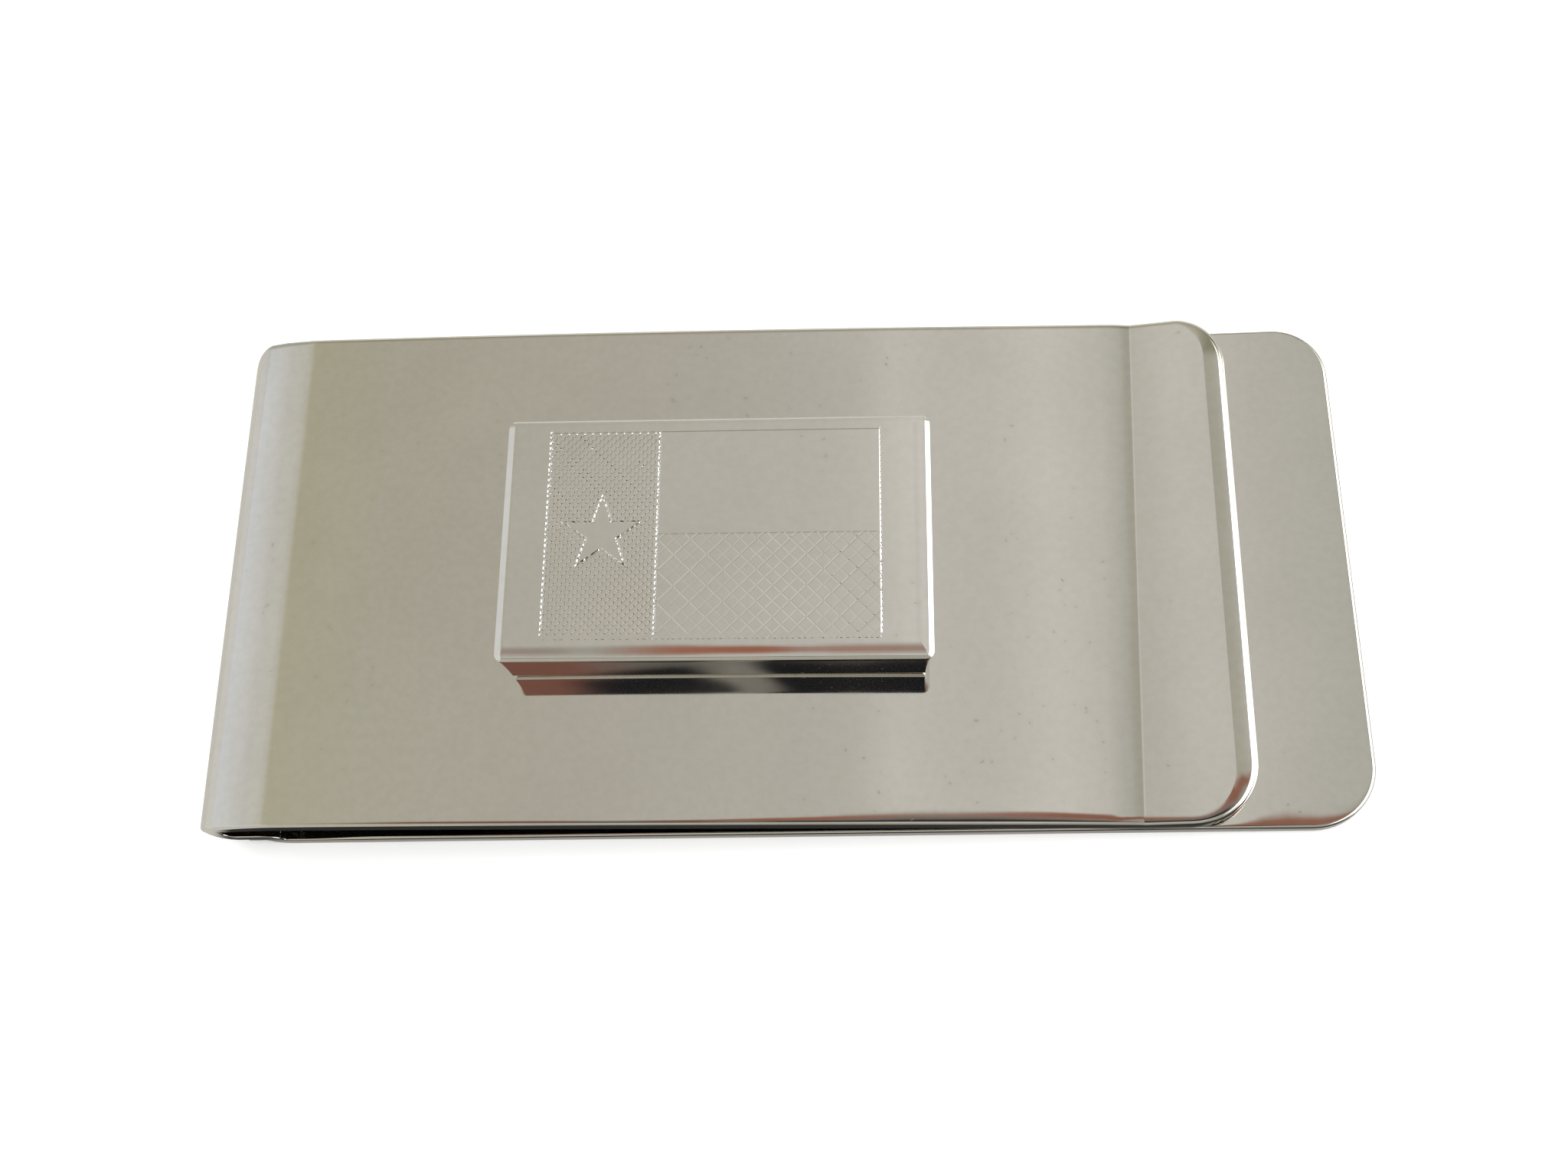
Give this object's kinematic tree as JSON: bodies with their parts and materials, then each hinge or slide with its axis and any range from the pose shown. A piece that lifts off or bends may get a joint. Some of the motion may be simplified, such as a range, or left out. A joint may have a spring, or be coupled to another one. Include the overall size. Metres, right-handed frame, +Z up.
{
  "type": "money clip",
  "caption": "Folded sprung metal strip that grips folded banknotes, with a creased flared lip and a bonded engraved rectangular plaque.",
  "frame": {"origin": "on the resting plane, under the middle of the clip's length and width", "axes": "+X along the clip from the fold to the open end, +Y across it, +Z up through the plaque"},
  "size_m": [0.052, 0.0242, 0.0062],
  "materials": {
    "polished_strip": "mirror-polished warm silver plating with faint pits",
    "polished_plaque": "mirror-polished warm silver plating, line-engraved face",
    "clear_adhesive": "cured clear bonding layer"
  },
  "bodies": {
    "base": {"base_leaf": "polished_strip", "fold_bend": "polished_strip"},
    "clamp": {"clamp_leaf": "polished_strip", "plaque": "polished_plaque", "adhesive_layer": "clear_adhesive"}
  },
  "joints": [
    {"name": "clamp_flex", "type": "hinge", "parent": "base", "child": "clamp", "pos_m": [-0.0225, 0, 0.00365], "axis": [0, -1, 0], "range_deg": [0, 7], "stiffness_Nm_per_rad": 6, "springref_deg": -1.15}
  ]
}
